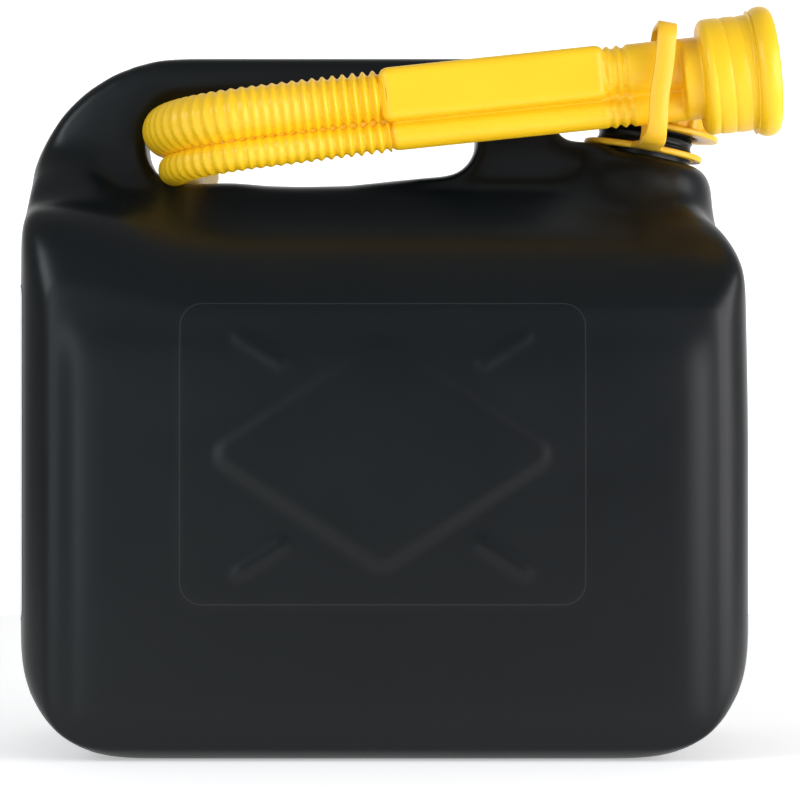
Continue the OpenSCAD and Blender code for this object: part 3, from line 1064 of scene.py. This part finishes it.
def plastic(name):
    # moulded plastic: one colour, a fine grain and slow changes of gloss
    look = finishes[name]
    material = bpy.data.materials.new(name)
    material.use_nodes = True
    nodes, links = material.node_tree.nodes, material.node_tree.links
    shader = nodes["Principled BSDF"]
    where = nodes.new("ShaderNodeTexCoord")
    grain = nodes.new("ShaderNodeTexNoise")
    grain.inputs["Scale"].default_value = look["grain"]
    grain.inputs["Detail"].default_value = 3
    bump = nodes.new("ShaderNodeBump")
    bump.inputs["Strength"].default_value = look["bump"]
    bump.inputs["Distance"].default_value = 0.0002
    gloss = nodes.new("ShaderNodeTexNoise")
    gloss.inputs["Scale"].default_value = 38
    gloss.inputs["Detail"].default_value = 4
    spread = nodes.new("ShaderNodeMapRange")
    spread.inputs["To Min"].default_value = look["roughness"] - 0.05
    spread.inputs["To Max"].default_value = look["roughness"] + 0.05
    tint = nodes.new("ShaderNodeMix")
    tint.data_type = "RGBA"
    colour = look["colour"]
    tint.inputs["A"].default_value = (*[c * 0.94 for c in colour], 1)
    tint.inputs["B"].default_value = (*[min(1, c * 1.05) for c in colour], 1)
    links.new(where.outputs["Object"], grain.inputs["Vector"])
    links.new(where.outputs["Object"], gloss.inputs["Vector"])
    links.new(grain.outputs["Fac"], bump.inputs["Height"])
    links.new(bump.outputs["Normal"], shader.inputs["Normal"])
    links.new(gloss.outputs["Fac"], spread.inputs["Value"])
    links.new(spread.outputs["Result"], shader.inputs["Roughness"])
    links.new(gloss.outputs["Fac"], tint.inputs["Factor"])
    links.new(tint.outputs["Result"], shader.inputs["Base Color"])
    shader.inputs["Specular IOR Level"].default_value = look.get("specular", 0.5)
    if look.get("subsurface"):
        shader.inputs["Subsurface Weight"].default_value = look["subsurface"]
        shader.inputs["Subsurface Radius"].default_value = (1.0, 0.6, 0.15)
        shader.inputs["Subsurface Scale"].default_value = 0.002
    return material


def mathsFor(material):
    # maker of maths nodes in one material
    nodes, links = material.node_tree.nodes, material.node_tree.links

    def maths(operation, one, two=0):
        node = nodes.new("ShaderNodeMath")
        node.operation = operation
        for place, value in enumerate((one, two)):
            if isinstance(value, (int, float)):
                node.inputs[place].default_value = value
            else:
                links.new(value, node.inputs[place])
        return node.outputs["Value"]

    return maths


def panelLineHighlight(material):
    # hairline of the mould insert round the panel on each broad side; its lighter grey is a painted highlight
    # where light would catch the groove's edge
    nodes, links = material.node_tree.nodes, material.node_tree.links
    shader = nodes["Principled BSDF"]
    where = nodes.new("ShaderNodeTexCoord")
    parts = nodes.new("ShaderNodeSeparateXYZ")
    links.new(where.outputs["Object"], parts.inputs["Vector"])

    maths = mathsFor(material)
    corner = relief["panelCorner"]
    across = maths("SUBTRACT", maths("ABSOLUTE", parts.outputs["X"]), relief["panelHalf"][0] - corner)
    up = maths("SUBTRACT", maths("ABSOLUTE", maths("SUBTRACT", parts.outputs["Z"], relief["centre"])),
               relief["panelHalf"][1] - corner)
    outside = maths("SQRT", maths("ADD", maths("POWER", maths("MAXIMUM", across, 0), 2),
                                  maths("POWER", maths("MAXIMUM", up, 0), 2)))
    within = maths("MINIMUM", maths("MAXIMUM", across, up), 0)
    away = maths("ABSOLUTE", maths("SUBTRACT", maths("ADD", outside, within), corner))
    hairlineHighlight = nodes.new("ShaderNodeMapRange")
    hairlineHighlight.interpolation_type = "SMOOTHSTEP"
    for name, value in (("From Min", 0.05 * mm), ("From Max", 0.3 * mm), ("To Min", 0.85), ("To Max", 0)):
        hairlineHighlight.inputs[name].default_value = value
    links.new(away, hairlineHighlight.inputs["Value"])
    broadSide = maths("GREATER_THAN", maths("ABSOLUTE", parts.outputs["Y"]), 60 * mm)
    # painted highlight: the hairline is drawn in a lighter grey than the black plastic
    highlightMix = nodes.new("ShaderNodeMix")
    highlightMix.data_type = "RGBA"
    highlightMix.inputs["B"].default_value = (0.02, 0.022, 0.024, 1)
    base = shader.inputs["Base Color"].links[0].from_socket
    links.new(maths("MULTIPLY", hairlineHighlight.outputs["Result"], broadSide), highlightMix.inputs["Factor"])
    links.new(base, highlightMix.inputs["A"])
    links.new(highlightMix.outputs["Result"], shader.inputs["Base Color"])


def labelPaper():
    # white sticker with a grey panel and a few plain rules, drawn over its own UV map
    material = bpy.data.materials.new("labelPaper")
    material.use_nodes = True
    nodes, links = material.node_tree.nodes, material.node_tree.links
    shader = nodes["Principled BSDF"]
    shader.inputs["Roughness"].default_value = 0.4
    where = nodes.new("ShaderNodeUVMap")
    where.uv_map = "label"
    parts = nodes.new("ShaderNodeSeparateXYZ")
    links.new(where.outputs["UV"], parts.inputs["Vector"])

    maths = mathsFor(material)

    def band(value, middle, half):
        return maths("LESS_THAN", maths("ABSOLUTE", maths("SUBTRACT", value, middle), 0), half)

    across, up = parts.outputs["X"], parts.outputs["Y"]
    panel = maths("MULTIPLY", band(across, 0.5, 0.44), band(up, 0.68, 0.24))
    rules = maths("MULTIPLY", band(across, 0.5, 0.40),
                  maths("MULTIPLY", band(maths("FRACT", maths("MULTIPLY", up, 24), 0), 0.5, 0.14),
                        band(up, 0.23, 0.155)))

    def mixed(base, colour, mask):
        node = nodes.new("ShaderNodeMix")
        node.data_type = "RGBA"
        if isinstance(base, tuple):
            node.inputs["A"].default_value = base
        else:
            links.new(base, node.inputs["A"])
        node.inputs["B"].default_value = colour
        links.new(mask, node.inputs["Factor"])
        return node.outputs["Result"]

    paint = mixed((0.8, 0.81, 0.82, 1), (0.22, 0.25, 0.28, 1), panel)
    paint = mixed(paint, (0.35, 0.36, 0.38, 1), rules)
    links.new(paint, shader.inputs["Base Color"])
    return material


def dress(piece, material):
    piece.data.materials.clear()
    piece.data.materials.append(material)


blackHdpe = plastic("blackHdpe")
spoutLdpe = plastic("spoutLdpe")
holderLdpe = plastic("holderLdpe")
panelLineHighlight(blackHdpe)
capPp = plastic("capPp")
capInnerPp = plastic("capInnerPp")
rubber = plastic("rubber")
paper = labelPaper()
for piece in (canisterShell, canisterNeck):
    dress(piece, blackHdpe)
for piece in [*bellowsPieces, spoutTip, spoutBarrel, spoutSocket]:
    dress(piece, spoutLdpe)
dress(spoutHolder, holderLdpe)
dress(capShell, capPp)
dress(sideLabel, paper)
slotFinish = {"canister": blackHdpe, "label": paper, "holder": holderLdpe, "cap": capPp,
              "cap_inner": capInnerPp, "gasket": rubber, "spout": spoutLdpe}
for part in frame["record"]["subparts"]:
    if part["node"] in frame["nodes"]:
        dress(frame["nodes"][part["node"]], slotFinish[part["material_slot"]])


def addFloor():
    bm = bmesh.new()
    bmesh.ops.create_circle(bm, cap_ends=True, segments=96, radius=studio["floorRadius"])
    floor = newObject(bm, "floor", False)
    material = bpy.data.materials.new("floorPaint")
    material.use_nodes = True
    shader = material.node_tree.nodes["Principled BSDF"]
    shader.inputs["Base Color"].default_value = (0.94, 0.94, 0.94, 1)
    shader.inputs["Roughness"].default_value = 0.9
    shader.inputs["Emission Color"].default_value = (1, 1, 1, 1)
    shader.inputs["Emission Strength"].default_value = studio["floorGlow"]
    floor.data.materials.append(material)


addFloor()
print("finishes, floor and light done")
